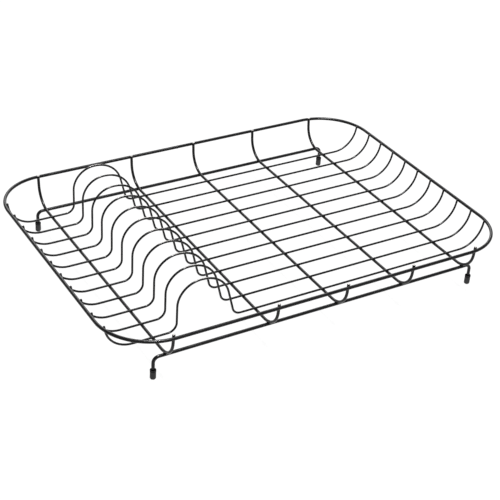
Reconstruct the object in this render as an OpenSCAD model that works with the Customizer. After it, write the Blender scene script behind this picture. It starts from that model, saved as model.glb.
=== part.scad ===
// Dish drying rack welded from bent round wire, with four push-on foot caps.
// Millimetres. Origin on the table under the middle of the rim; +X along the rim, +Z up.
// The plate humps stand near the -X end, and the flat tray floor runs on towards +X.

/* [Rim] */
// overall length of the rim, outside to outside
rim_length = 469; // [440:1:500]
// overall width of the rim, outside to outside
rim_width = 342; // [320:1:360]
// height of the rim wire's centre above the floor wires' centre
rim_rise = 28; // [24:0.5:36]
// plan radius of the rim's corners, to the wire's centre
rim_corner = 57; // [48:0.5:64]
// diameter of the rim wire
rim_dia = 3.6; // [3.2:0.1:4.2]

/* [Plate wires] */
// spacing of the eleven plate wires, centre to centre
pitch = 25; // [23:0.1:25.5]
// diameter of the plate wires
plate_dia = 2.3; // [2:0.1:2.6]
// bend radius where a plate wire turns up to the rim
plate_end_bend = 29.5; // [16:0.5:33]
// outward lean of the turned-up ends, in degrees
plate_end_lean = 10; // [3:0.5:14]

/* [Plate humps] */
// where the hump's upright leaves the floor
hump_start = -151.5; // [-156:0.5:-144]
// level length along the top, between the upright and the sloping side
hump_top = 50.8; // [49.6:0.2:58]
// height of the hump's centreline above the floor
hump_rise = 53; // [48:0.5:60]
// run of the sloping side along the rack
hump_slope = 14; // [10:0.5:20]
// bend radius at the foot of the upright
hump_foot_bend = 9.5; // [6:0.5:12]
// bend radius at the top of the upright
hump_up_bend = 25; // [16:0.5:26]
// bend radius at the top of the sloping side
hump_down_bend = 31; // [20:0.5:31]

/* [Cross wires] */
// diameter of the five cross wires
cross_dia = 3.2; // [2.8:0.1:3.6]
// position of the first cross wire, at the hump end
cross_first = -176.5; // [-185:0.5:-168]
// position of the second cross wire, just past the humps
cross_second = -61; // [-66:0.5:-58]
// spacing from the second cross wire on
cross_bay = 81.5; // [76:0.5:84]
// bend radius where a cross wire turns up to the rim
cross_end_bend = 24; // [14:0.5:26]
// outward lean of its turned-up ends, in degrees
cross_end_lean = 5; // [2:0.5:8]

/* [Legs and feet] */
// diameter of the two leg wires
leg_dia = 3.6; // [3.2:0.1:4]
// distance of each leg wire from the rack's long middle line
leg_line = 149; // [144:0.5:150]
// how far the legs stand outside the end cross wires
leg_outset = 9; // [8:0.5:12]
// how much further out each leg of the front frame stands
front_extra = 3.2; // [0:0.1:6]
// bend radius between the rail and the legs
leg_bend = 6; // [5:0.5:8]
// height of the floor wires' centre above the table
floor_height = 29.5; // [26:0.5:36]
// outside diameter of a foot cap
cap_dia = 6.4; // [5.8:0.1:7.2]
// height of a foot cap
cap_height = 11.2; // [9:0.2:12]
// thickness of rubber under the wire's end
cap_base = 2.6; // [1.6:0.2:4]
// rounding of a cap's bottom edge
cap_round = 2; // [0.6:0.1:2.4]
// diameter of the open mouth at the top of a cap
mouth_dia = 5.6; // [4.4:0.1:5.7]
// depth of that mouth
mouth_depth = 2; // [0.6:0.1:3]

/* [Welds] */
// how deep one wire sinks into the next at a weld
weld_sink = 0.35; // [0.1:0.05:0.4]
// how far the plate wires' ends stand above the rim's top
plate_nub = -0.4; // [-1:0.2:2]
// how far the cross wires' ends stand above the rim's top
cross_nub = 1.2; // [0.4:0.2:3]

/* [Hidden] */
$fn = 64;

BLACK = [0.04, 0.04, 0.045];
RUBBER = [0.09, 0.09, 0.095];

rim_r = rim_dia / 2;
plate_r = plate_dia / 2;
cross_r = cross_dia / 2;
leg_r = leg_dia / 2;

// rim centreline
rim_x = rim_length / 2 - rim_r;
rim_y = rim_width / 2 - rim_r;
rim_z = floor_height + rim_rise;

// turned-up ends touch the rim's inner side
plate_gap = rim_r + plate_r - weld_sink;
cross_gap = rim_r + cross_r - weld_sink;
plate_tip_z = rim_z + rim_r + plate_nub;
cross_tip_z = rim_z + rim_r + cross_nub;

// the cross wires lie under the plate wires, and start to turn up at cross_bend_y
cross_z = floor_height - plate_r - cross_r + weld_sink;
cross_foot_y = rim_y - cross_gap - (rim_z - cross_z) * tan(cross_end_lean);
cross_bend_y = cross_foot_y - cross_end_bend * tan((90 - cross_end_lean) / 2);

// the rails lie under the cross wires, where those start to turn up
rail_over = max(0, leg_line - cross_bend_y);
rail_reach = cross_end_bend + cross_r + leg_r - weld_sink;
rail_z = cross_z + cross_end_bend - sqrt(rail_reach * rail_reach - rail_over * rail_over);

// how far a straight runs into a bend, and how much thicker the bend is
lap = 0.25;
swell = 0.03;

// cross wires and legs along the rack
cross_x = [cross_first, cross_second, cross_second + cross_bay,
           cross_second + 2 * cross_bay, cross_second + 3 * cross_bay];
leg_left = cross_x[0] - leg_outset;
leg_right = cross_x[4] + leg_outset;

// how far out the rim's inner offset line lies, at a distance along the other side
function reach(half, other_half, along, gap) =
    let (over = abs(along) - (other_half - rim_corner))
    half - rim_corner + (over <= 0 ? rim_corner - gap
                                   : sqrt(pow(rim_corner - gap, 2) - over * over));

// direction of leg i of a path, and the signed turn at its corner i
function heading(p, i) = atan2(p[i + 1][1] - p[i][1], p[i + 1][0] - p[i][0]);
function wrapped(a) = a > 180 ? a - 360 : a < -180 ? a + 360 : a;
function turn(p, i) = wrapped(heading(p, i) - heading(p, i - 1));
// straight length that a bend takes off each side of its corner
function taken(p, r, i) = (i == 0 || i == len(p) - 1) ? 0 : r[i] * tan(abs(turn(p, i)) / 2);

// round wire of diameter d along the flat path p, with bend radius r[i] at corner i;
// a bend is a hair thicker than the straights, which run a little way into it
module bent_wire(p, r, d) {
    last = len(p) - 2;
    for (i = [0 : last]) {
        a = heading(p, i);
        before = i == 0 ? 0 : taken(p, r, i) - lap;
        after = i == last ? 0 : taken(p, r, i + 1) - lap;
        translate(p[i] + before * [cos(a), sin(a)])
            rotate([0, 90, a])
                cylinder(h = norm(p[i + 1] - p[i]) - before - after, d = d);
    }
    for (i = [1 : last]) {
        a = heading(p, i - 1);
        s = turn(p, i) > 0 ? 1 : -1;
        c = p[i] - taken(p, r, i) * [cos(a), sin(a)] + s * r[i] * [-sin(a), cos(a)];
        from = s > 0 ? a - 90 : heading(p, i) + 90;
        translate(c)
            rotate([0, 0, from])
                rotate_extrude(angle = abs(turn(p, i)))
                    translate([r[i], 0])
                        circle(d = d + swell);
    }
}

module rim() {
    color(BLACK)
    translate([0, 0, rim_z])
    union() {
        for (s = [-1, 1]) {
            translate([-(rim_x - rim_corner), s * rim_y, 0])
                rotate([0, 90, 0])
                    cylinder(h = 2 * (rim_x - rim_corner), d = rim_dia);
            translate([s * rim_x, -(rim_y - rim_corner), 0])
                rotate([-90, 0, 0])
                    cylinder(h = 2 * (rim_y - rim_corner), d = rim_dia);
        }
        for (q = [0 : 3]) {
            sx = (q == 0 || q == 3) ? 1 : -1;
            sy = q < 2 ? 1 : -1;
            translate([sx * (rim_x - rim_corner), sy * (rim_y - rim_corner), 0])
                rotate([0, 0, 90 * q])
                    rotate_extrude(angle = 90)
                        translate([rim_corner, 0])
                            circle(d = rim_dia);
        }
    }
}

// one plate wire: up at each end, along the floor, and once over the hump
module plate_wire(j) {
    y = (6 - j) * pitch;
    end_x = reach(rim_x, rim_y, y, plate_gap);
    foot_x = end_x - rim_rise * tan(plate_end_lean);
    rise = plate_tip_z - floor_height;
    tip_x = foot_x + rise * tan(plate_end_lean);
    a = hump_start;
    b = hump_start + hump_top;
    path = [[-tip_x, rise], [-foot_x, 0], [a, 0], [a, hump_rise], [b, hump_rise],
            [b + hump_slope, 0], [foot_x, 0], [tip_x, rise]];
    bends = [0, plate_end_bend, hump_foot_bend, hump_up_bend, hump_down_bend,
             hump_foot_bend, plate_end_bend, 0];
    translate([0, y, floor_height])
        rotate([90, 0, 0])
            bent_wire(path, bends, plate_dia);
}

// one cross wire: a shallow cradle from the front of the rim to the back
module cross_wire(i) {
    x = cross_x[i - 1];
    end_y = reach(rim_y, rim_x, x, cross_gap);
    foot_y = end_y - (rim_z - cross_z) * tan(cross_end_lean);
    rise = cross_tip_z - cross_z;
    tip_y = foot_y + rise * tan(cross_end_lean);
    path = [[-tip_y, rise], [-foot_y, 0], [foot_y, 0], [tip_y, rise]];
    translate([x, 0, cross_z])
        rotate([90, 0, 90])
            bent_wire(path, [0, cross_end_bend, cross_end_bend, 0], cross_dia);
}

// one leg frame: a rail under the cross wires, bent down into a leg at each end
module leg_frame(side, extra) {
    drop = rail_z - cap_base;
    left_x = leg_left - extra;
    right_x = leg_right + extra;
    path = [[left_x, -drop], [left_x, 0], [right_x, 0], [right_x, -drop]];
    translate([0, side * leg_line, rail_z])
        rotate([90, 0, 0])
            bent_wire(path, [0, leg_bend, leg_bend, 0], leg_dia);
}

// one foot cap: a round-edged plug of rubber with a blind bore for the leg and a wider mouth
module foot_cap(x, side) {
    translate([x, side * leg_line, 0])
        difference() {
            rotate_extrude()
                difference() {
                    union() {
                        translate([0, cap_round])
                            square([cap_dia / 2, cap_height - cap_round]);
                        square([cap_dia / 2 - cap_round, cap_round]);
                        translate([cap_dia / 2 - cap_round, cap_round])
                            circle(r = cap_round);
                    }
                    translate([-cap_dia, -cap_dia])
                        square([cap_dia, 3 * cap_height]);
                }
            translate([0, 0, cap_base])
                cylinder(h = cap_height, d = leg_dia);
            translate([0, 0, cap_height - mouth_depth])
                cylinder(h = cap_height, d = mouth_dia);
        }
}

module cross_wire_1() { color(BLACK) cross_wire(1); }
module cross_wire_2() { color(BLACK) cross_wire(2); }
module cross_wire_3() { color(BLACK) cross_wire(3); }
module cross_wire_4() { color(BLACK) cross_wire(4); }
module cross_wire_5() { color(BLACK) cross_wire(5); }
module plate_wire_1() { color(BLACK) plate_wire(1); }
module plate_wire_2() { color(BLACK) plate_wire(2); }
module plate_wire_3() { color(BLACK) plate_wire(3); }
module plate_wire_4() { color(BLACK) plate_wire(4); }
module plate_wire_5() { color(BLACK) plate_wire(5); }
module plate_wire_6() { color(BLACK) plate_wire(6); }
module plate_wire_7() { color(BLACK) plate_wire(7); }
module plate_wire_8() { color(BLACK) plate_wire(8); }
module plate_wire_9() { color(BLACK) plate_wire(9); }
module plate_wire_10() { color(BLACK) plate_wire(10); }
module plate_wire_11() { color(BLACK) plate_wire(11); }
module front_leg_frame() { color(BLACK) leg_frame(-1, front_extra); }
module rear_leg_frame() { color(BLACK) leg_frame(1, 0); }
module foot_cap_front_left() { color(RUBBER) foot_cap(leg_left - front_extra, -1); }
module foot_cap_front_right() { color(RUBBER) foot_cap(leg_right + front_extra, -1); }
module foot_cap_rear_left() { color(RUBBER) foot_cap(leg_left, 1); }
module foot_cap_rear_right() { color(RUBBER) foot_cap(leg_right, 1); }

rim();
cross_wire_1();
cross_wire_2();
cross_wire_3();
cross_wire_4();
cross_wire_5();
plate_wire_1();
plate_wire_2();
plate_wire_3();
plate_wire_4();
plate_wire_5();
plate_wire_6();
plate_wire_7();
plate_wire_8();
plate_wire_9();
plate_wire_10();
plate_wire_11();
front_leg_frame();
rear_leg_frame();
foot_cap_front_left();
foot_cap_front_right();
foot_cap_rear_left();
foot_cap_rear_right();
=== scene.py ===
# %% [markdown]
# # A dish drying rack of bent and welded wire
#
# This lesson dresses a finished CAD model. The CAD part arrives as a fixed frame: every wire and every
# foot cap is already in its place and at its real size. The script gives each wire a clean swept mesh,
# adds what a welder and a coating line leave behind, and ends with finishes, floor and light.

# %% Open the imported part
import math

import bpy
from mathutils import Matrix, Vector
from mathutils.geometry import intersect_line_line


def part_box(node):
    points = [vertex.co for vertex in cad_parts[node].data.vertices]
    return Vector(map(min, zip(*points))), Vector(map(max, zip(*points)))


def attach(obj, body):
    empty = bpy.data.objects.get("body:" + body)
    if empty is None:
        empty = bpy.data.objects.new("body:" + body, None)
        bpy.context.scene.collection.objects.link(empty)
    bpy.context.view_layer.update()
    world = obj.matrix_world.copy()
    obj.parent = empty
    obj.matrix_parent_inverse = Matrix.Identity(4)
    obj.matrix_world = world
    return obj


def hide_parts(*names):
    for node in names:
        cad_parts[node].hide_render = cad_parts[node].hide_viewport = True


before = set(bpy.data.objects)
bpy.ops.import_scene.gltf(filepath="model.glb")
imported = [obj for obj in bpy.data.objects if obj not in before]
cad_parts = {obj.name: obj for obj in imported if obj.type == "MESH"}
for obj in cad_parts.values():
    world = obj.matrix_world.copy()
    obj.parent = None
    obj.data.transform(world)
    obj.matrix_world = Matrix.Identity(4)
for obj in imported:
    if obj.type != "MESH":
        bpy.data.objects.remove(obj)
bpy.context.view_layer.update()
print("nodes in the frame:", len(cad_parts))

# %% [markdown]
# ## Selecting with care
#
# An operator works on everything that is selected, and the freshly loaded CAD nodes are selected. So the
# first habit to learn is to clear the selection. The second is to move between object mode, where whole
# pieces are handled, and edit mode, where vertices and faces are.

# %% Small helpers for objects and selections
BODY = "root"


def deselect_all():
    """Leaves nothing selected and no active object."""
    for each in bpy.context.selected_objects:
        each.select_set(False)
    bpy.context.view_layer.objects.active = None


def only(obj):
    """Makes obj the one selected, active object."""
    deselect_all()
    obj.select_set(True)
    bpy.context.view_layer.objects.active = obj


def start_editing():
    """Opens the active object in edit mode with everything on it selected."""
    bpy.ops.object.mode_set(mode="EDIT")
    bpy.ops.mesh.select_mode(type="VERT")
    bpy.ops.mesh.select_all(action="SELECT")


def stop_editing():
    bpy.ops.object.mode_set(mode="OBJECT")


def settle():
    """Turns the active object's place, turn and scale into its mesh."""
    bpy.ops.object.transform_apply(location=True, rotation=True, scale=True)


def close_and_smooth(obj, crease=35):
    """Closes open ends, points all faces outwards and smooths what is rounder than the crease."""
    only(obj)
    start_editing()
    bpy.ops.mesh.fill_holes(sides=0)
    bpy.ops.mesh.select_all(action="SELECT")
    bpy.ops.mesh.normals_make_consistent(inside=False)
    stop_editing()
    bpy.ops.object.shade_smooth_by_angle(angle=math.radians(crease))


deselect_all()

# %% [markdown]
# ## Measures from the frame
#
# Nothing here is placed by eye. The thickness, height and reach of every wire come from the boxes of
# the CAD nodes. A box can't tell how a wire bends inside it, so only the bends have numbers of their own.

# %% Read the wires' sizes and places
MM = 0.001
BEND_SWELL = 0.03 * MM


def middle(node):
    low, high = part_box(node)
    return (low + high) / 2


def extent(node):
    low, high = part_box(node)
    return high - low


PLATE_WIRES = ["plate_wire_%d" % n for n in range(1, 12)]
CROSS_WIRES = ["cross_wire_%d" % n for n in range(1, 6)]
LEG_FRAMES = ["front_leg_frame", "rear_leg_frame"]
FOOT_CAPS = ["foot_cap_front_left", "foot_cap_front_right", "foot_cap_rear_left", "foot_cap_rear_right"]

rim_d = extent("rim").z
plate_d = extent("plate_wire_6").y - BEND_SWELL
cross_d = extent("cross_wire_3").x - BEND_SWELL
leg_d = extent("front_leg_frame").y - BEND_SWELL

rim_x = extent("rim").x / 2 - rim_d / 2
rim_y = extent("rim").y / 2 - rim_d / 2
rim_z = middle("rim").z
floor_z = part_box("plate_wire_6")[0].z + (plate_d + BEND_SWELL) / 2
hump_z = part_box("plate_wire_6")[1].z - (plate_d + BEND_SWELL) / 2
cross_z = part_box("cross_wire_3")[0].z + (cross_d + BEND_SWELL) / 2
rail_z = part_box("front_leg_frame")[1].z - (leg_d + BEND_SWELL) / 2
leg_line = abs(middle("front_leg_frame").y)
print("wires in mm:", [round(d / MM, 2) for d in (rim_d, cross_d, plate_d, leg_d)])

# %% [markdown]
# ## The camera
#
# The camera comes before the pieces, so that every test picture shows them from the same place. It is a
# long lens at the front left, a third of the way up, and held a few degrees off level.

# %% Place the camera
def camera_turn(azimuth, elevation, roll):
    """The turn of a camera that looks from an azimuth and elevation, and the way back to it."""
    a, e, r = (math.radians(angle) for angle in (azimuth, elevation, roll))
    back = Vector((math.sin(a) * math.cos(e), -math.cos(a) * math.cos(e), math.sin(e)))
    level = Vector((math.cos(a), math.sin(a), 0))
    up = back.cross(level)
    across = level * math.cos(r) + up * math.sin(r)
    upright = up * math.cos(r) - level * math.sin(r)
    return Matrix((across, upright, back)).transposed(), back


turn, back = camera_turn(azimuth=-32.16, elevation=32.3, roll=3.82)
aim = Vector((-12 * MM, -28 * MM, floor_z))
camera_data = bpy.data.cameras.new("camera")
camera_data.lens = 90.5
camera_data.sensor_width = 36
camera_data.clip_start = 0.05
camera_data.clip_end = 20
camera = bpy.data.objects.new("camera", camera_data)
bpy.context.scene.collection.objects.link(camera)
camera.matrix_world = Matrix.Translation(aim + back * 1.362) @ turn.to_4x4()
bpy.context.scene.camera = camera

# %% [markdown]
# ## Shader groups for effects that repeat
#
# The coating on the wires and the rubber of the caps share three effects: a fine grain in the surface,
# a slow patchiness from one place to the next, and a little dust on whatever faces up. Each is a node
# group with named inputs, so a material only says how much of it there is. The groups put out values
# and masks, and the shader itself stays in the material. All patterns are in metres on the object.

# %% Helpers for node trees
def new_group(name, inputs, outputs):
    """A shader node group with float inputs given as name: default, and float outputs."""
    group = bpy.data.node_groups.new(name, "ShaderNodeTree")
    for socket, default in inputs.items():
        made = group.interface.new_socket(name=socket, in_out="INPUT", socket_type="NodeSocketFloat")
        made.default_value = default
    for socket in outputs:
        group.interface.new_socket(name=socket, in_out="OUTPUT", socket_type="NodeSocketFloat")
    start = group.nodes.new("NodeGroupInput")
    end = group.nodes.new("NodeGroupOutput")
    return group, start, end


def add(tree, kind, values=(), **settings):
    """A node of a kind, with input values given as (socket, value) and settings by name."""
    node = tree.nodes.new("ShaderNode" + kind)
    for name, value in settings.items():
        setattr(node, name, value)
    for socket, value in values:
        node.inputs[socket].default_value = value
    return node


def join(tree, *pairs):
    """Links each (output, input) pair."""
    for output, target in pairs:
        tree.links.new(output, target)


def maths(tree, operation, a, b, clamp=False):
    """A Math node on two values, each a number or an output. Returns its output."""
    node = add(tree, "Math", operation=operation, use_clamp=clamp)
    for socket, value in zip(node.inputs, (a, b)):
        if isinstance(value, (int, float)):
            socket.default_value = value
        else:
            tree.links.new(value, socket)
    return node.outputs[0]


def ramp(tree, value, low, high, out_low=0, out_high=1):
    """A smooth Map Range from low..high to out_low..out_high. Returns its output."""
    node = add(tree, "MapRange", [("From Min", low), ("From Max", high), ("To Min", out_low),
                                  ("To Max", out_high)], interpolation_type="SMOOTHSTEP")
    tree.links.new(value, node.inputs["Value"])
    return node.outputs["Result"]


# %% [markdown]
# ## Grain
#
# Powder melts into a skin with a faint orange peel, a millimetre or so across. Rubber has a finer, duller
# grain from its mould. Both are two noises added together, one coarse and one fine.

# %% Group: surface grain
def make_grain():
    group, start, end = new_group("surface_grain", {"Peel Size": 1.2 * MM, "Fine Size": 0.25 * MM,
                                                    "Fine Share": 0.2}, ["Height"])
    coordinates = add(group, "TexCoord")
    peel_scale = maths(group, "DIVIDE", 1.0, start.outputs["Peel Size"])
    fine_scale = maths(group, "DIVIDE", 1.0, start.outputs["Fine Size"])
    peel = add(group, "TexNoise", [("Detail", 1.5), ("Roughness", 0.4)])
    fine = add(group, "TexNoise", [("Detail", 2.0), ("Roughness", 0.55)])
    fine_height = maths(group, "MULTIPLY", fine.outputs["Fac"], start.outputs["Fine Share"])
    height = maths(group, "ADD", peel.outputs["Fac"], fine_height)
    join(group, (coordinates.outputs["Object"], peel.inputs["Vector"]),
         (coordinates.outputs["Object"], fine.inputs["Vector"]),
         (peel_scale, peel.inputs["Scale"]), (fine_scale, fine.inputs["Scale"]),
         (height, end.inputs["Height"]))
    return group


grain = make_grain()

# %% [markdown]
# ## Patches
#
# No coat is equally thick all over, and hands polish it unevenly. A slow noise gives a value around
# one half that a material uses to shift its colour and roughness.

# %% Group: slow patches
def make_patches():
    group, start, end = new_group("slow_patches", {"Size": 30 * MM, "Contrast": 1.0}, ["Mask"])
    coordinates = add(group, "TexCoord")
    scale = maths(group, "DIVIDE", 1.0, start.outputs["Size"])
    noise = add(group, "TexNoise", [("Detail", 3.0), ("Roughness", 0.6), ("Distortion", 0.3)])
    centred = maths(group, "SUBTRACT", noise.outputs["Fac"], 0.5)
    spread = maths(group, "MULTIPLY", centred, start.outputs["Contrast"])
    mask = maths(group, "ADD", spread, 0.5, clamp=True)
    join(group, (coordinates.outputs["Object"], noise.inputs["Vector"]),
         (scale, noise.inputs["Scale"]), (mask, end.inputs["Mask"]))
    return group


patches = make_patches()

# %% [markdown]
# ## Dust
#
# Dust and dried water stay where a surface faces up. The mask is the upward part of the normal, broken
# up by a noise so that it lies in flecks and never as an even film.

# %% Group: dust on what faces up
def make_dust():
    group, start, end = new_group("upward_dust", {"Amount": 0.3, "Fleck Size": 2 * MM}, ["Mask"])
    coordinates = add(group, "TexCoord")
    parts = add(group, "SeparateXYZ")
    facing_up = ramp(group, parts.outputs["Z"], 0.45, 1.0)
    scale = maths(group, "DIVIDE", 1.0, start.outputs["Fleck Size"])
    noise = add(group, "TexNoise", [("Detail", 4.0), ("Roughness", 0.7)])
    flecks = ramp(group, noise.outputs["Fac"], 0.42, 0.68)
    lying = maths(group, "MULTIPLY", facing_up, flecks)
    mask = maths(group, "MULTIPLY", lying, start.outputs["Amount"], clamp=True)
    join(group, (coordinates.outputs["Normal"], parts.inputs["Vector"]),
         (coordinates.outputs["Object"], noise.inputs["Vector"]),
         (scale, noise.inputs["Scale"]), (mask, end.inputs["Mask"]))
    return group


dust = make_dust()

# %% [markdown]
# ## Black powder coat
#
# The steel is sprayed with black powder and baked. The coat is a plain dielectric over a nearly black
# pigment, with a satin sheen. Where plates slide over the tops of the humps it is rubbed a little
# smoother and paler. The flat, upward faces of the cut wire ends that stand above the rim are painted
# pale grey: a painted highlight for the light those faces catch from above.

# %% Material: black powder coat
def new_material(name):
    """A node material, its node tree and its Principled shader."""
    material = bpy.data.materials.new(name)
    material.use_nodes = True
    return material, material.node_tree, material.node_tree.nodes["Principled BSDF"]


def use_group(tree, group, **values):
    """Places a node group, with its inputs given by name and underscores for spaces."""
    node = add(tree, "Group", node_tree=group)
    for name, value in values.items():
        node.inputs[name.replace("_", " ")].default_value = value
    return node


def mix_colour(tree, mask, first, second):
    """Mixes two colours, each a tuple or an output, by a mask. Returns the colour output."""
    node = add(tree, "Mix", data_type="RGBA")
    tree.links.new(mask, node.inputs["Factor"])
    for socket, colour in ((node.inputs[6], first), (node.inputs[7], second)):
        if isinstance(colour, tuple):
            socket.default_value = (*colour, 1)
        else:
            tree.links.new(colour, socket)
    return node.outputs[2]


def bump(tree, height, depth, shader):
    """A Bump node of a depth in metres on the shader's normal."""
    node = add(tree, "Bump", [("Strength", 1.0), ("Distance", depth)])
    join(tree, (height, node.inputs["Height"]), (node.outputs["Normal"], shader.inputs["Normal"]))


BLACK_THIN = (0.0030, 0.0030, 0.0034)
BLACK_THICK = (0.0060, 0.0060, 0.0064)
RUBBED = (0.016, 0.016, 0.017)
DUSTY = (0.026, 0.0255, 0.0245)
# Pale grey for the flat tops of the wire ends above the rim: a painted highlight.
END_HIGHLIGHT_GREY = (0.30, 0.29, 0.28)


def make_black_coat():
    material, tree, shader = new_material("black_powder_coat")
    shader.inputs["IOR"].default_value = 1.5
    shader.inputs["Specular IOR Level"].default_value = 0.22
    thickness = use_group(tree, patches, Size=24 * MM, Contrast=1.6).outputs["Mask"]
    settled = use_group(tree, dust, Amount=0.12, Fleck_Size=1.6 * MM).outputs["Mask"]
    coordinates = add(tree, "TexCoord")
    place = add(tree, "SeparateXYZ")
    facing = add(tree, "SeparateXYZ")
    join(tree, (coordinates.outputs["Object"], place.inputs["Vector"]),
         (coordinates.outputs["Normal"], facing.inputs["Vector"]))
    on_hump_top = ramp(tree, place.outputs["Z"], hump_z - 3 * MM, hump_z + 0.5 * MM)
    rubbed = maths(tree, "MULTIPLY", on_hump_top, thickness)
    rim_top = rim_z + rim_d / 2
    # Painted highlight: the upward faces of the wire ends above the rim are coloured pale grey for the light
    # they catch.
    above_rim = ramp(tree, place.outputs["Z"], rim_top + 0.2 * MM, rim_top + 0.5 * MM)
    facing_up = ramp(tree, facing.outputs["Z"], 0.93, 0.98)
    painted_end_highlight = maths(tree, "MULTIPLY", above_rim, facing_up)
    pigment = mix_colour(tree, thickness, BLACK_THIN, BLACK_THICK)
    pigment = mix_colour(tree, maths(tree, "MULTIPLY", rubbed, 0.5), pigment, RUBBED)
    pigment = mix_colour(tree, settled, pigment, DUSTY)
    pigment = mix_colour(tree, painted_end_highlight, pigment, END_HIGHLIGHT_GREY)
    satin = ramp(tree, thickness, 0.2, 0.8, 0.20, 0.28)
    satin = maths(tree, "SUBTRACT", satin, maths(tree, "MULTIPLY", rubbed, 0.06))
    satin = maths(tree, "ADD", satin, maths(tree, "MULTIPLY", settled, 0.35), clamp=True)
    peel = use_group(tree, grain, Peel_Size=1.3 * MM, Fine_Size=0.28 * MM, Fine_Share=0.18)
    bump(tree, peel.outputs["Height"], 0.022 * MM, shader)
    join(tree, (pigment, shader.inputs["Base Color"]), (satin, shader.inputs["Roughness"]))
    return material


black_coat = make_black_coat()

# %% [markdown]
# ## Cap rubber
#
# The caps are dark grey and dull. Talc from the mould and dust leave a bloom on the outside. The top of
# the cap, meaning the band below the lip, the lip and the mouth, is left black without the bloom. Inside
# the mouth that black is painted shade. The heel is scuffed paler where it stands on the table.

# %% Material: foot rubber
# Black for the top of the cap. Inside the mouth it is painted shade.
TOP_BLACK_AND_MOUTH_SHADE = (0.005, 0.005, 0.0055)
BLOOM_THIN = (0.030, 0.030, 0.031)
BLOOM_THICK = (0.042, 0.042, 0.043)
SCUFFED = (0.085, 0.083, 0.080)


def make_cap_rubber():
    material, tree, shader = new_material("cap_rubber")
    shader.inputs["IOR"].default_value = 1.5
    shader.inputs["Specular IOR Level"].default_value = 0.25
    coordinates = add(tree, "TexCoord")
    place = add(tree, "SeparateXYZ")
    join(tree, (coordinates.outputs["Object"], place.inputs["Vector"]))
    cap_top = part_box("foot_cap_front_left")[1].z
    # The top 2.5 mm is left black without bloom. Inside the mouth this black is painted shade.
    bloom_and_painted_shade = ramp(tree, place.outputs["Z"], cap_top - 2.5 * MM, cap_top - 2.2 * MM, 1, 0)
    mottle = use_group(tree, patches, Size=3.5 * MM, Contrast=1.4).outputs["Mask"]
    scuffed = ramp(tree, place.outputs["Z"], 0.2 * MM, 1.6 * MM, 0.6, 0)
    bloomed = mix_colour(tree, mottle, BLOOM_THIN, BLOOM_THICK)
    bloomed = mix_colour(tree, scuffed, bloomed, SCUFFED)
    colour = mix_colour(tree, bloom_and_painted_shade, TOP_BLACK_AND_MOUTH_SHADE, bloomed)
    dullness = ramp(tree, mottle, 0.0, 1.0, 0.62, 0.80)
    skin = use_group(tree, grain, Peel_Size=0.5 * MM, Fine_Size=0.12 * MM, Fine_Share=0.5)
    bump(tree, skin.outputs["Height"], 0.03 * MM, shader)
    join(tree, (colour, shader.inputs["Base Color"]), (dullness, shader.inputs["Roughness"]))
    return material


cap_rubber = make_cap_rubber()

# %% [markdown]
# ## Bent wire
#
# Real wire is drawn round, fed through a bender and cut off. A curve object with a round bevel would
# give the same shape, but its rings crowd at tight bends. Here the wire is made as the machine makes it:
# a ring of vertices is extruded along each straight and spun about the centre of each bend, so the
# rings stay square to the wire and evenly spaced. The cut ends get a small rounding, which a coating
# line needs so that powder holds on the edge.

# %% A wire bender made of extrude and spin
WIRE_SIDES = 20
BEND_STEP = math.radians(7.5)
END_ROUND = 0.16
STEEP_PART = 0.3


def push_ring(way, distance):
    """Extrudes the selected ring along way."""
    bpy.ops.mesh.extrude_region_move(TRANSFORM_OT_translate={"value": way * distance})


def scale_ring(centre, factor):
    bpy.ops.transform.resize(value=(factor,) * 3, center_override=centre)


def spin_ring(corner, way, next_way, radius, taken):
    """Spins the selected ring round a bend. Spin turns against the right-hand rule."""
    axis = way.cross(next_way).normalized()
    centre = corner - way * taken + axis.cross(way) * radius
    angle = way.angle(next_way)
    steps = max(4, round(angle / BEND_STEP))
    bpy.ops.mesh.spin(steps=steps, angle=-angle, center=centre, axis=axis)


def rounded_start(at, way, radius):
    """A small ring at the wire's cut end, widened to full size in two steps. Returns how far it came."""
    edge = END_ROUND * radius
    bpy.ops.mesh.primitive_circle_add(vertices=WIRE_SIDES, radius=radius - edge, fill_type="NOTHING",
                                      location=at, rotation=way.to_track_quat("Z", "Y").to_euler())
    settle()
    start_editing()
    steep = STEEP_PART * edge
    push_ring(way, steep)
    scale_ring(at + way * steep, (radius - steep) / (radius - edge))
    push_ring(way, edge - steep)
    scale_ring(at + way * edge, radius / (radius - steep))
    return edge


def rounded_finish(at, way, radius):
    """Narrows the last ring to a cut end at the point at."""
    edge = END_ROUND * radius
    steep = STEEP_PART * edge
    push_ring(way, edge - steep)
    scale_ring(at - way * steep, (radius - steep) / radius)
    push_ring(way, steep)
    scale_ring(at, (radius - edge) / (radius - steep))


def coat(obj, node):
    """Puts a finished wire in the place of its CAD node, with its body, slot and material."""
    obj.data.materials.append(black_coat)
    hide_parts(node)
    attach(obj, BODY)


def bent_wire(node, corners, bends, diameter):
    """A round wire through the corners, with a bend radius at each, in the place of a CAD node."""
    deselect_all()
    ways = [(b - a).normalized() for a, b in zip(corners, corners[1:])]
    turns = [0] + [a.angle(b) for a, b in zip(ways, ways[1:])] + [0]
    taken = [bend * math.tan(turned / 2) for bend, turned in zip(bends, turns)]
    taken[0] = rounded_start(corners[0], ways[0], diameter / 2)
    taken[-1] = END_ROUND * diameter / 2
    for i, way in enumerate(ways):
        length = (corners[i + 1] - corners[i]).length
        push_ring(way, length - taken[i] - taken[i + 1])
        if i + 1 < len(ways):
            spin_ring(corners[i + 1], way, ways[i + 1], bends[i + 1], taken[i + 1])
    rounded_finish(corners[-1], ways[-1], diameter / 2)
    stop_editing()
    wire = bpy.context.object
    wire.name = "coated_" + node
    close_and_smooth(wire)
    coat(wire, node)
    return wire


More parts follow.
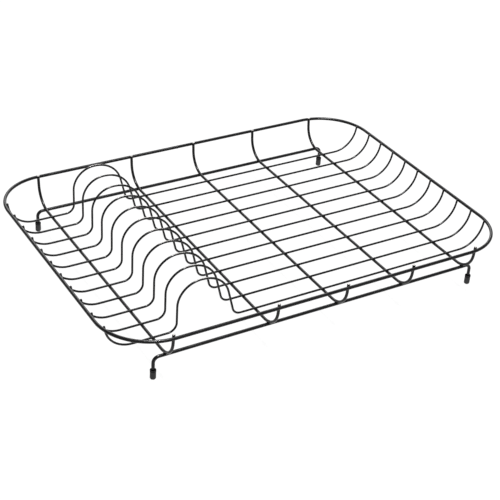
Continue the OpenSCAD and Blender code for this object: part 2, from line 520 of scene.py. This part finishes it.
def misfit(obj, node):
    """The largest difference between a piece's box and its CAD node's, in mm."""
    low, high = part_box(node)
    places = [v.co for v in obj.data.vertices]
    gaps = [abs(min(p[k] for p in places) - low[k]) for k in range(3)]
    gaps += [abs(max(p[k] for p in places) - high[k]) for k in range(3)]
    return round(max(gaps) / MM, 3)


# %% [markdown]
# ## Plate wires
#
# Eleven thin wires run the long way. Each one drops from the rim to the floor, climbs over one hump that
# holds a plate, and rises to the rim again. All eleven come off the same bending program, and only the
# two outer ones are cut a little shorter, because they end on the rim's rounded corners.

# %% Bend the plate wires
PLATE_LEAN = math.radians(10)
PLATE_NUB = -0.4 * MM
PLATE_END_BEND = 29.5 * MM
HUMP_START = -151.5 * MM
HUMP_TOP = 50.8 * MM
HUMP_SLOPE = 14 * MM
HUMP_BENDS = [9.5 * MM, 25 * MM, 31 * MM, 9.5 * MM]

plate_tip_z = rim_z + rim_d / 2 + PLATE_NUB


def plate_wire_corners(node):
    y = middle(node).y
    tip_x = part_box(node)[1].x - plate_d / 2 * math.cos(PLATE_LEAN)
    foot_x = tip_x - (plate_tip_z - floor_z) * math.tan(PLATE_LEAN)
    slope_x = HUMP_START + HUMP_TOP
    outline = [(-tip_x, plate_tip_z), (-foot_x, floor_z), (HUMP_START, floor_z), (HUMP_START, hump_z),
               (slope_x, hump_z), (slope_x + HUMP_SLOPE, floor_z), (foot_x, floor_z), (tip_x, plate_tip_z)]
    return [Vector((x, y, z)) for x, z in outline]


plate_corners = {node: plate_wire_corners(node) for node in PLATE_WIRES}
plate_bends = [0, PLATE_END_BEND, *HUMP_BENDS, PLATE_END_BEND, 0]
plate_wires = {node: bent_wire(node, plate_corners[node], plate_bends, plate_d) for node in PLATE_WIRES}
print("plate wires, misfit in mm:", max(misfit(wire, node) for node, wire in plate_wires.items()))

# %% [markdown]
# ## Cross wires
#
# Five thicker wires run under the plate wires from the front of the rim to the back, like a cradle.
# They carry the load, and their ends turn up in a wide bend.

# %% Bend the cross wires
CROSS_LEAN = math.radians(5)
CROSS_NUB = 1.2 * MM
CROSS_END_BEND = 24 * MM

cross_tip_z = rim_z + rim_d / 2 + CROSS_NUB


def cross_wire_corners(node):
    x = middle(node).x
    tip_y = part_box(node)[1].y - cross_d / 2 * math.cos(CROSS_LEAN)
    foot_y = tip_y - (cross_tip_z - cross_z) * math.tan(CROSS_LEAN)
    outline = [(-tip_y, cross_tip_z), (-foot_y, cross_z), (foot_y, cross_z), (tip_y, cross_tip_z)]
    return [Vector((x, y, z)) for y, z in outline]


cross_corners = {node: cross_wire_corners(node) for node in CROSS_WIRES}
cross_bends = [0, CROSS_END_BEND, CROSS_END_BEND, 0]
cross_wires = {node: bent_wire(node, cross_corners[node], cross_bends, cross_d) for node in CROSS_WIRES}
print("cross wires, misfit in mm:", max(misfit(wire, node) for node, wire in cross_wires.items()))

# %% [markdown]
# ## Leg frames
#
# A rail under the cross wires, bent straight down into a leg at each end. The legs stop inside the caps.

# %% Bend the leg frames
LEG_BEND = 6 * MM


def leg_frame_corners(node):
    low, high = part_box(node)
    y = (low.y + high.y) / 2
    left = low.x + leg_d / 2
    right = high.x - leg_d / 2
    outline = [(left, low.z), (left, rail_z), (right, rail_z), (right, low.z)]
    return [Vector((x, y, z)) for x, z in outline]


leg_bends = [0, LEG_BEND, LEG_BEND, 0]
leg_frames = {node: bent_wire(node, leg_frame_corners(node), leg_bends, leg_d) for node in LEG_FRAMES}
print("leg frames, misfit in mm:", max(misfit(wire, node) for node, wire in leg_frames.items()))

# %% [markdown]
# ## The rim
#
# One thick wire goes all the way round and meets itself in a butt weld at the middle of the rear side.
# The ring of vertices is pushed and spun through four straights and four corners, and its last copy is
# merged with its first. The weld leaves a low bead, which is ground flush on the outside: the rings there
# grow from a centre that lies on the rim's outer face, so they swell inwards only.

# %% Bend the rim and close it
RIM_CORNER = 57 * MM
RIM_STEPS = 20
RIM_SIDES = 24
BEAD_HALF = 0.9 * MM
BEAD_SWELL = 1.07


def closed_rim():
    deselect_all()
    outer = Vector((0, rim_y + rim_d / 2, rim_z))
    bpy.ops.mesh.primitive_circle_add(vertices=RIM_SIDES, radius=rim_d / 2, fill_type="NOTHING",
                                      location=(0, rim_y, rim_z), rotation=(0, math.radians(90), 0))
    settle()
    start_editing()
    left = Vector((-1, 0, 0))
    scale_ring(outer, BEAD_SWELL)
    push_ring(left, BEAD_HALF / 2)
    scale_ring(outer + left * BEAD_HALF / 2, math.sqrt(1 / BEAD_SWELL))
    push_ring(left, BEAD_HALF / 2)
    scale_ring(outer + left * BEAD_HALF, math.sqrt(1 / BEAD_SWELL))
    corner_x = rim_x - RIM_CORNER
    corner_y = rim_y - RIM_CORNER
    sides = [((-1, 0, 0), corner_x - BEAD_HALF, (-corner_x, corner_y)),
             ((0, -1, 0), 2 * corner_y, (-corner_x, -corner_y)),
             ((1, 0, 0), 2 * corner_x, (corner_x, -corner_y)),
             ((0, 1, 0), 2 * corner_y, (corner_x, corner_y))]
    for way, length, (x, y) in sides:
        push_ring(Vector(way), length)
        bpy.ops.mesh.spin(steps=RIM_STEPS, angle=math.radians(-90), center=(x, y, rim_z), axis=(0, 0, 1))
    push_ring(left, corner_x - BEAD_HALF)
    push_ring(left, BEAD_HALF / 2)
    scale_ring(outer - left * BEAD_HALF / 2, math.sqrt(BEAD_SWELL))
    push_ring(left, BEAD_HALF / 2)
    scale_ring(outer, math.sqrt(BEAD_SWELL))
    bpy.ops.mesh.select_all(action="SELECT")
    bpy.ops.mesh.remove_doubles(threshold=0.01 * MM)
    stop_editing()
    wire = bpy.context.object
    wire.name = "coated_rim"
    close_and_smooth(wire)
    coat(wire, "rim")
    return wire


rim = closed_rim()
print("rim, misfit in mm:", misfit(rim, "rim"))

# %% [markdown]
# ## Weld seats
#
# Where two wires cross, the welder's electrodes press one into the other until the steel melts at the
# touch, and the powder later fills the sharp groove around it. So each crossing has a small hollow seat.
# One seat is modelled for each pair of wire sizes: an oval ring is pressed against each of two dummy
# rods with a Shrinkwrap modifier, and a waisted skirt is bridged between the rings.

# %% Model one weld seat
SEAT_SIDES = 16
GROOVE = 0.22 * MM
TOE = 1.2
TOE_SINK = 0.05 * MM
WIDEST = 0.92


def dummy_rod(radius, height, rotation):
    deselect_all()
    bpy.ops.mesh.primitive_cylinder_add(vertices=64, radius=radius, depth=24 * MM,
                                        location=(0, 0, height), rotation=rotation)
    settle()
    return bpy.context.object


def pressed_ring(rod, half_x, half_y, upwards):
    """An oval ring that starts clear of a rod and is projected onto it along Z."""
    deselect_all()
    bpy.ops.mesh.primitive_circle_add(vertices=SEAT_SIDES, radius=1, fill_type="NOTHING",
                                      location=(0, 0, -8 * MM if upwards else 8 * MM))
    ring = bpy.context.object
    bpy.ops.transform.resize(value=(half_x, half_y, 1))
    settle()
    press = ring.modifiers.new("press", "SHRINKWRAP")
    press.target = rod
    press.wrap_method = "PROJECT"
    press.use_project_z = True
    press.use_positive_direction = upwards
    press.use_negative_direction = not upwards
    press.offset = -TOE_SINK
    bpy.ops.object.modifier_apply(modifier="press")
    return ring


def weld_seat(name, upper_r, lower_r, sink, tip_limit=1.0):
    """A seat at the origin: the upper wire lies along X, the lower one along Y, and Z points up."""
    upper_rod = dummy_rod(upper_r, upper_r - sink / 2, (0, math.radians(90), 0))
    lower_rod = dummy_rod(lower_r, sink / 2 - lower_r, (math.radians(90), 0, 0))
    half_x = TOE * math.sqrt(2 * lower_r * (sink + GROOVE))
    half_y = TOE * math.sqrt(2 * upper_r * (sink + GROOVE))
    half_x = min(half_x, tip_limit)
    upper = pressed_ring(upper_rod, half_x, min(half_y, WIDEST * upper_r), True)
    lower = pressed_ring(lower_rod, min(half_x, WIDEST * lower_r), half_y, False)
    only(lower)
    upper.select_set(True)
    bpy.ops.object.join()
    seat = bpy.context.object
    seat.name = name
    start_editing()
    bpy.ops.mesh.bridge_edge_loops(number_cuts=3, interpolation="PATH", profile_shape="SPHERE",
                                   profile_shape_factor=-0.12)
    stop_editing()
    close_and_smooth(seat, crease=60)
    for rod in (upper_rod, lower_rod):
        bpy.data.objects.remove(rod)
    return seat


# %% [markdown]
# ## Where the welds are
#
# A seat needs a place and a turn. Both follow from the two wires that meet: the shortest line between
# their centrelines gives the seat's up direction, and the point where it leaves the lower wire gives
# its place. Blender's intersect_line_line finds that line.

# %% Place copies of a seat
def seat_turn(upper_point, upper_way, lower_point, lower_way, lower_r, upper_r):
    """The matrix that puts a seat between two straight wires, each given as a point and a way."""
    on_upper, on_lower = intersect_line_line(upper_point, upper_point + upper_way,
                                             lower_point, lower_point + lower_way)
    between = on_upper - on_lower
    up = between.normalized()
    along = upper_way.normalized()
    across = up.cross(along)
    sink = lower_r + upper_r - between.length
    place = on_lower + up * (lower_r - sink / 2)
    turned = Matrix((along, across, up)).transposed().to_4x4()
    return Matrix.Translation(place) @ turned


def copy_seats(seat, matrices, name):
    """One mesh copy of the seat for each matrix, all joined into one piece of the welding."""
    copies = []
    for matrix in matrices:
        copy = seat.copy()
        copy.data = seat.data.copy()
        bpy.context.scene.collection.objects.link(copy)
        copy.matrix_world = matrix
        copies.append(copy)
    bpy.data.objects.remove(seat)
    only(copies[0])
    for copy in copies:
        copy.select_set(True)
    settle()
    bpy.ops.object.join()
    welds = bpy.context.object
    welds.name = name
    welds.data.materials.append(black_coat)
    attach(welds, BODY)
    print(name, "has", len(matrices), "seats")


# %% [markdown]
# ## Floor welds
#
# Fifty-five crossings, where each of the eleven plate wires lies across each of the five cross wires.

# %% Weld the floor
plate_r = plate_d / 2
cross_r = cross_d / 2
rim_r = rim_d / 2
leg_r = leg_d / 2
floor_sink = plate_r + cross_r - (floor_z - cross_z)


def floor_seats():
    for plate in PLATE_WIRES:
        for cross in CROSS_WIRES:
            yield seat_turn(Vector((0, middle(plate).y, floor_z)), Vector((1, 0, 0)),
                            Vector((middle(cross).x, 0, cross_z)), Vector((0, 1, 0)), cross_r, plate_r)


floor_seat = weld_seat("floor_seat", plate_r, cross_r, floor_sink)
copy_seats(floor_seat, list(floor_seats()), "floor_weld_seats")

# %% [markdown]
# ## Welds at the rim
#
# Each wire's turned-up end touches the rim's inner side. The outer plate wires and the last cross wire
# meet it on a rounded corner, so the rim's own direction there comes from the corner's circle.

# %% Weld the ends to the rim
def rim_at(point):
    """The rim's nearest point to a point inside it, and the rim's way there."""
    corner = Vector((math.copysign(rim_x - RIM_CORNER, point.x), math.copysign(rim_y - RIM_CORNER, point.y)))
    over_x = abs(point.x) - abs(corner.x)
    over_y = abs(point.y) - abs(corner.y)
    if over_x > 0 and over_y > 0:
        outward = (point.xy - corner).normalized()
        nearest = corner + outward * RIM_CORNER
    elif over_x > 0:
        outward = Vector((math.copysign(1, point.x), 0))
        nearest = Vector((math.copysign(rim_x, point.x), point.y))
    else:
        outward = Vector((0, math.copysign(1, point.y)))
        nearest = Vector((point.x, math.copysign(rim_y, point.y)))
    return Vector((*nearest, rim_z)), Vector((-outward.y, outward.x, 0))


def end_seats(corners_of, wire_r):
    """The seats at both ends of each wire: its end leg against the rim."""
    for corners in corners_of.values():
        for tip, foot in ((corners[0], corners[1]), (corners[-1], corners[-2])):
            way = (tip - foot).normalized()
            at_rim = tip - way * (tip.z - rim_z) / way.z
            point, rim_way = rim_at(at_rim)
            yield seat_turn(at_rim, way, point, rim_way, rim_r, wire_r)


END_SINK = 0.36 * MM
plate_seat = weld_seat("plate_end_seat", plate_r, rim_r, END_SINK, tip_limit=1.3 * MM)
copy_seats(plate_seat, list(end_seats(plate_corners, plate_r)), "plate_end_weld_seats")
cross_seat = weld_seat("cross_end_seat", cross_r, rim_r, END_SINK, tip_limit=2 * MM)
copy_seats(cross_seat, list(end_seats(cross_corners, cross_r)), "cross_end_weld_seats")

# %% [markdown]
# ## Welds at the rails
#
# The rails lie in the crook of the cross wires, where those begin to turn up. There the cross wire's
# way is the tangent of its bend, square to the line from the bend's centre to the rail.

# %% Weld the rails
def rail_seats():
    for corners in cross_corners.values():
        for tip, foot in ((corners[0], corners[1]), (corners[-1], corners[-2])):
            bend_y = abs(foot.y) - CROSS_END_BEND * math.tan((math.pi / 2 - CROSS_LEAN) / 2)
            side = math.copysign(1, foot.y)
            centre = Vector((foot.x, side * bend_y, cross_z + CROSS_END_BEND))
            rail = Vector((foot.x, side * leg_line, rail_z))
            outward = (rail - centre).normalized()
            on_bend = centre + outward * CROSS_END_BEND
            bend_way = Vector((1, 0, 0)).cross(outward)
            yield seat_turn(on_bend, bend_way, rail, Vector((1, 0, 0)), leg_r, cross_r)


RAIL_SINK = 0.36 * MM
rail_seat = weld_seat("rail_seat", cross_r, leg_r, RAIL_SINK, tip_limit=2 * MM)
copy_seats(rail_seat, list(rail_seats()), "rail_weld_seats")

# %% [markdown]
# ## Foot caps
#
# A cap is one moulding, round all the way, so it could be a spun outline. It is made here from a ring
# that is pushed up and scaled step by step, because that keeps every step readable: the flat base, the
# rounded heel, a wall that draws in slightly, a wider band, a rolled lip, and the mouth that narrows
# onto the wire.

# %% Mould one foot cap
CAP_SIDES = 40
HEEL = 2 * MM
LIP = 0.3 * MM
LIP_BAND = 2.3 * MM
MOUTH_DEPTH = 2 * MM
MOUTH_WALL = 0.42 * MM

cap_low, cap_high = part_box("foot_cap_front_left")
cap_r = (cap_high.x - cap_low.x) / 2
cap_height = cap_high.z


def cap_outline():
    """Radius and height of each ring, from the base, up the outside, over the lip and into the mouth."""
    rings = [(0.35 * (cap_r - HEEL), 0.0), (cap_r - HEEL - 0.15 * MM, 0.0)]
    for step in range(9):
        angle = math.radians(90 * step / 8)
        rings.append((cap_r - HEEL + (HEEL - 0.1 * MM) * math.sin(angle), HEEL * (1 - math.cos(angle))))
    rings.append((cap_r - 0.12 * MM, 0.5 * cap_height))
    rings.append((cap_r - 0.13 * MM, cap_height - LIP_BAND - 0.15 * MM))
    rings.append((cap_r - 0.02 * MM, cap_height - LIP_BAND + 0.1 * MM))
    for step in range(7):
        angle = math.radians(180 * step / 6)
        radius = cap_r - LIP + LIP * math.cos(angle) * (1 if step < 4 else 0.6)
        rings.append((radius, cap_height - LIP + LIP * math.sin(angle)))
    rings.append((cap_r - MOUTH_WALL - 0.25 * MM, cap_height - 0.6 * MOUTH_DEPTH))
    rings.append((leg_r + 0.35 * MM, cap_height - 0.92 * MOUTH_DEPTH))
    rings.append((leg_r - 0.05 * MM, cap_height - MOUTH_DEPTH))
    rings.append((leg_r - 0.4 * MM, cap_height - MOUTH_DEPTH))
    return rings


def mould_cap(node):
    deselect_all()
    x, y = middle(node).xy
    rings = cap_outline()
    radius, height = rings[0]
    bpy.ops.mesh.primitive_circle_add(vertices=CAP_SIDES, radius=radius, fill_type="NOTHING",
                                      location=(x, y, height))
    settle()
    start_editing()
    for next_radius, next_height in rings[1:]:
        push_ring(Vector((0, 0, 1)), next_height - height)
        factor = next_radius / radius
        bpy.ops.transform.resize(value=(factor, factor, 1), center_override=(x, y, next_height))
        radius, height = next_radius, next_height
    stop_editing()
    cap = bpy.context.object
    cap.name = "rubber_" + node
    close_and_smooth(cap, crease=50)
    cap.data.materials.append(cap_rubber)
    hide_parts(node)
    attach(cap, BODY)
    return cap


caps = {node: mould_cap(node) for node in FOOT_CAPS}
print("foot caps, misfit in mm:", max(misfit(cap, node) for node, cap in caps.items()))

# %% [markdown]
# ## The floor
#
# The rack stands on a white acrylic sheet lit from below. Almost all of its white is its own glow and very
# little is light that falls on it, so it stays even and the wires leave hardly any shadow. The glow is set
# just under full white: a brighter floor would spill over the edges of the wires and make them look thin.

# %% Lay the floor
deselect_all()
bpy.ops.mesh.primitive_plane_add(size=12)
floor = bpy.context.object
floor.name = "floor"
acrylic, tree, shader = new_material("lit_acrylic")
shader.inputs["Base Color"].default_value = (0.05, 0.05, 0.05, 1)
shader.inputs["Roughness"].default_value = 0.9
shader.inputs["Specular IOR Level"].default_value = 0.0
shader.inputs["Emission Color"].default_value = (1, 1, 1, 1)
shader.inputs["Emission Strength"].default_value = 0.94
floor.data.materials.append(acrylic)

# %% [markdown]
# ## The lights
#
# Black wire has no shading of its own to speak of, so it shows what it reflects. A wide panel stands
# behind the rack: the wires that run front to back mirror it and turn grey, while the long ones mirror
# the dim front of the room and stay black. A narrow strip overhead puts short glints on the bends.

# %% Set the lights
def softbox(name, place, target, size, power):
    """A rectangular area light that faces target and is itself out of the camera's sight."""
    data = bpy.data.lights.new(name, "AREA")
    data.shape = "RECTANGLE"
    data.size, data.size_y = size
    data.energy = power
    light = bpy.data.objects.new(name, data)
    bpy.context.scene.collection.objects.link(light)
    away = (Vector(place) - Vector(target)).normalized()
    light.matrix_world = Matrix.Translation(place) @ away.to_track_quat("Z", "Y").to_matrix().to_4x4()
    light.visible_camera = False
    return light


softbox("back_panel", (0.85, 1.75, 1.35), (0, 0, 0.05), (2.0, 1.7), 40)
softbox("overhead", (0.05, -0.3, 2.2), (0, 0, 0), (0.3, 0.6), 110)

world = bpy.data.worlds.new("studio")
bpy.context.scene.world = world
world.use_nodes = True
tree = world.node_tree
sky = tree.nodes["Background"]
sky.inputs["Color"].default_value = (1, 1, 1, 1)
sky.inputs["Strength"].default_value = 0.25
bpy.context.scene.view_settings.view_transform = "Standard"
